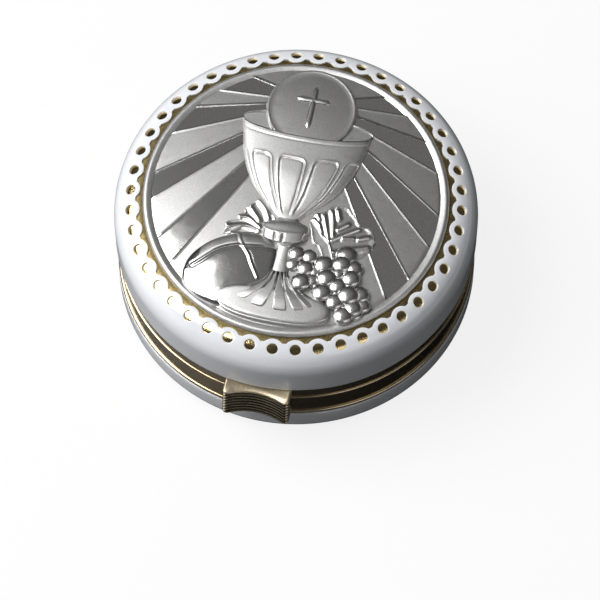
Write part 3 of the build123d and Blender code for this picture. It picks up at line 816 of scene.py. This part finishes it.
leaf_stalk = [(6.35, -6.4), (7.1, -8.2), (7.9, -10.4)]
bar(leaf_stalk, half=0.22, rise=0.3, base=leaf_height, roughness=0.2)

relief = piece("medal_relief", medal_points, medal_faces, silver)
mark_points(relief.data, "grain", medal_grain)
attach(relief, "lid")
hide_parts("medal")

# Grapes: a bunch of round berries pressed out of the medal's silver, heaped towards its middle.
# One flattened berry is drawn, and it is repeated at each place: x, y, size and rise.
berries = [
    (2.06, -9.2, 1.1, 0.5), (4.1, -9.3, 1.05, 0.4), (1.9, -11.0, 1.0, 0.3), (3.84, -11.3, 1.1, 0.6),
    (6.4, -10.2, 1.3, 0.6), (3.6, -13.6, 1.25, 0.8), (5.2, -13.1, 1.05, 0.4), (7.2, -12.25, 1.3, 0.9),
    (7.0, -14.7, 1.3, 0.9), (9.4, -8.1, 1.45, 0.3), (9.0, -9.6, 1.25, 0.7), (10.9, -10.0, 1.2, 0.5),
    (8.8, -11.25, 0.9, 0.5), (10.8, -11.65, 1.25, 0.8), (9.1, -13.2, 1.15, 0.8), (10.9, -14.4, 1.4, 1.0),
    (9.2, -15.8, 1.2, 0.8), (12.7, -14.0, 1.2, 0.6), (13.3, -15.7, 1.1, 0.5), (12.0, -16.4, 1.2, 0.8),
    (10.8, -17.8, 1.3, 0.8), (12.5, -17.2, 1.0, 0.4), (5.3, -11.6, 1.0, 0.3), (8.0, -13.4, 1.0, 0.3),
]
berry_form, berry_grain, berry_segments, berry_rings = (1.16, 1.16, 0.56), 0.27, 32, 20
berry_places = []
for x, y, size, rise in berries:
    x, y = leaned(x, y, rise)
    berry_places.append((x * mm, y * mm, (field_level + rise + bulge(x, y)) * mm))
bunch = bpy.data.meshes.new("bunch")
bunch.from_pydata(berry_places, [], [])
mark_points(bunch, "girth", [size * mm for x, y, size, rise in berries])
bunch_places = bpy.data.objects.new("bunch_places", bunch)
bpy.context.scene.collection.objects.link(bunch_places)
bunch_tree, add = new_pattern(
    "bunch_of_grapes", {"Places": "Geometry", "Rings": "Int", "Finish": "Material"}
)
given = add("NodeGroupInput").outputs
berry = add("GeometryNodeMeshUVSphere", {"Segments": berry_segments, "Rings": given["Rings"], "Radius": 1.0})
girth = add("GeometryNodeInputNamedAttribute", {"Name": "girth"}).outputs["Attribute"]
flattened = add("ShaderNodeVectorMath", {0: girth, 1: berry_form}, operation="MULTIPLY")
copies = add("GeometryNodeInstanceOnPoints", {
    "Points": given["Places"], "Instance": berry.outputs["Mesh"], "Scale": flattened.outputs[0],
})
real = add("GeometryNodeRealizeInstances", {0: copies.outputs[0]})
smooth = add("GeometryNodeSetShadeSmooth", {0: real.outputs[0]})
polished = add("GeometryNodeStoreNamedAttribute", {
    "Geometry": smooth.outputs[0], "Name": "grain", "Value": berry_grain,
})
coloured = add("GeometryNodeSetMaterial", {"Geometry": polished.outputs[0], "Material": given["Finish"]})
add("NodeGroupOutput", {0: coloured.outputs[0]})
grapes = grown("medal_grapes", bunch_places, bunch_tree, {"Rings": berry_rings, "Finish": silver})
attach(grapes, "lid")

# Glue: a thin layer of clear glue between the medal and the lid's flat top.
# It is spread over the medal's back, holds it, and is hidden under it.
glue, add, feed = new_finish("clear_glue", (0.70, 0.68, 0.60), 0.0, 0.5)
feed("Roughness", cloudy(add, 600, 3, 0.4, 0.6))
feed("Base Color", tint(add, cloudy(add, 300, 3, 0, 1), (0.66, 0.64, 0.56), (0.74, 0.72, 0.64)))
dress(["medal_adhesive"], glue)


# Floor: a plain sheet under the object, white where it is seen, that keeps the object's shadow.
# To the light it is dark grey, so that it throws little of it back up.
def seen_rays(add):
    """1 for the rays that are seen, straight, in gloss or through glass, and 0 for those of the light."""
    path = add("ShaderNodeLightPath").outputs
    seen = joined(add, "MAXIMUM", path["Is Camera Ray"], path["Is Glossy Ray"])
    return joined(add, "MAXIMUM", seen, path["Is Transmission Ray"])


def flat_sheet(name, half, level, material):
    """A square sheet round the origin, at a level."""
    corners = [(-half, -half, level), (half, -half, level), (half, half, level), (-half, half, level)]
    return piece(name, corners, [(0, 1, 2, 3)], material)


white_share = 0.85
floor_white, add, feed = new_finish("floor_white", (0.08, 0.08, 0.08), 0.0, 0.8)
seen = seen_rays(add)
feed("Base Color", tint(add, seen, (0.08, 0.08, 0.08), (0.9, 0.9, 0.9)))
plain_white = add("ShaderNodeEmission", {"Color": (1, 1, 1, 1), "Strength": 1.0})
lit_sheet = floor_white.node_tree.nodes["Principled BSDF"]
blend = add("ShaderNodeMixShader", {
    0: joined(add, "MULTIPLY", seen, white_share), 1: lit_sheet.outputs[0], 2: plain_white.outputs[0],
})
feed("Surface", blend.outputs[0])
floor = flat_sheet("floor", half=3000, level=-0.2, material=floor_white)

# World: white where it is seen, and a low even light on the object.
world_light = 0.18
world = bpy.data.worlds.new("studio")
bpy.context.scene.world = world
world.use_nodes = True
add = adder(world.node_tree)
sky = world.node_tree.nodes["Background"]
sky.inputs["Color"].default_value = (1, 1, 1, 1)
world.node_tree.links.new(ramp(add, seen_rays(add), 0, 1, world_light, 1.0), sky.inputs["Strength"])


# Light: one large soft box at the left and a weak low one beside it. A dark tent with a few
# brighter parts and a dark card on the floor, with painted light and shadow, are there only for the
# reflections.
def soft_box(name, place, aim, width, depth, power):
    """A rectangular lamp at a place, turned to what it lights."""
    lamp = bpy.data.lights.new(name, "AREA")
    lamp.shape = "RECTANGLE"
    lamp.size, lamp.size_y = width, depth
    lamp.energy = power
    thing = bpy.data.objects.new(name, lamp)
    thing.location = place
    thing.rotation_euler = (Vector(aim) - Vector(place)).to_track_quat("-Z", "Y").to_euler()
    bpy.context.scene.collection.objects.link(thing)


def only_in_reflections(thing):
    """Hides a piece of the stage from the camera, from shadows and from diffuse light."""
    thing.visible_camera = False
    thing.visible_shadow = False
    thing.visible_diffuse = False


soft_box(
    "left_box", place=(-0.279, -0.03, 0.408), aim=(0, 0, 0.02), width=0.376, depth=0.347, power=2.65
)
soft_box("low_box", place=(-0.44, -0.2, 0.13), aim=(0, 0, 0.01), width=0.4, depth=0.24, power=0.36)

tent_radius = 900
# Direction of each bright part of the tent, cosines at which it starts and is full, and strength
bright_parts = [
    ((-0.1, 0.3, 0.95), 0.82, 0.927, 0.115),
    ((0.50, -0.54, 0.68), 0.972, 0.98, 1.3),
    ((0.78, -0.32, 0.53), 0.965, 0.985, 0.9),
]
tent_grey, add, feed = new_finish("tent_grey", (0.0, 0.0, 0.0), 0.0, 0.9)
facing = add("ShaderNodeVectorMath", {0: on_piece(add)}, operation="NORMALIZE").outputs["Vector"]
facing_parts = add("ShaderNodeSeparateXYZ", {"Vector": facing}).outputs
tent_level = ramp(add, facing_parts["Z"], 0.0, 0.6, 0.03, 0.06)
for direction, start, full, strength in bright_parts:
    towards = add("ShaderNodeVectorMath", {0: facing, 1: direction}, operation="DOT_PRODUCT")
    bright = ramp(add, towards.outputs["Value"], start, full, 0.0, strength)
    tent_level = joined(add, "ADD", tent_level, bright)
front_wall = ramp(add, facing_parts["Y"], -0.2, -0.5, 0.0, 0.1)
for start, full in ((0.1, 0.25), (0.65, 0.5)):
    front_wall = joined(add, "MULTIPLY", front_wall, ramp(add, facing_parts["Z"], start, full))
tent_level = joined(add, "ADD", tent_level, front_wall)
tent_glow = add("ShaderNodeEmission", {"Color": (1.0, 0.99, 0.97, 1), "Strength": tent_level})
feed("Surface", tent_glow.outputs[0])
tent_profile = rounded((0, 0), tent_radius, 0, 90, 12)[:-1] + [(0, tent_radius)]
tent = piece("tent", *turned(tent_profile, 48), tent_grey)
only_in_reflections(tent)

card_grey, add, feed = new_finish("card_grey", (0.04, 0.04, 0.04), 0.0, 0.9)
across_card = add("ShaderNodeSeparateXYZ", {"Vector": on_piece(add)}).outputs["X"]
# Painted light and shadow: the card is lighter on the left, where the soft box would light the floor, and
# nearly black on the right, where the object's shadow falls.
painted_light_side = ramp(add, across_card, 3 * mm, -12 * mm)
feed("Base Color", tint(add, painted_light_side, (0.009, 0.009, 0.009), (0.11, 0.11, 0.107)))
feed("Roughness", cloudy(add, 60, 2, 0.85, 0.95))
card = flat_sheet("card_floor", half=160, level=-0.1, material=card_grey)
only_in_reflections(card)

# Camera: above the front and a little to the right, with a long lens.
# It is aimed so that the middle of the dome's top falls on a known pixel of the picture.
picture_size, sensor_width, lens, eye_distance = 600, 36, 228, 0.571
top_pixel_x, top_pixel_y = 296.8, 199.4
azimuth, elevation, roll = math.radians(12.4), math.radians(62.46), math.radians(0.36)
camera = bpy.data.cameras.new("camera")
camera.sensor_width = sensor_width
camera.lens = lens
camera.clip_start, camera.clip_end = 0.01, 20
eye = bpy.data.objects.new("camera", camera)
bpy.context.scene.collection.objects.link(eye)
level_back = Vector((math.sin(azimuth), -math.cos(azimuth), 0))
back = level_back * math.cos(elevation) + Vector((0, 0, math.sin(elevation)))
side = Vector((math.cos(azimuth), math.sin(azimuth), 0))
up = back.cross(side)
top_middle = Vector((0, 0, dome_top * mm))
pixel = eye_distance * sensor_width / lens / picture_size
to_right, to_top = picture_size / 2 - top_pixel_x, top_pixel_y - picture_size / 2
aim = top_middle + side * to_right * pixel + up * to_top * pixel
eye.location = top_middle + back * eye_distance
forward = (aim - eye.location).normalized()
level_side = forward.cross(Vector((0, 0, 1))).normalized()
level_up = level_side.cross(forward)
tilted_side = level_side * math.cos(roll) - level_up * math.sin(roll)
tilted_up = level_side * math.sin(roll) + level_up * math.cos(roll)
eye.rotation_mode = "QUATERNION"
eye.rotation_quaternion = Matrix((tilted_side, tilted_up, -forward)).transposed().to_quaternion()
bpy.context.scene.camera = eye

bpy.context.scene.view_settings.view_transform = "Standard"
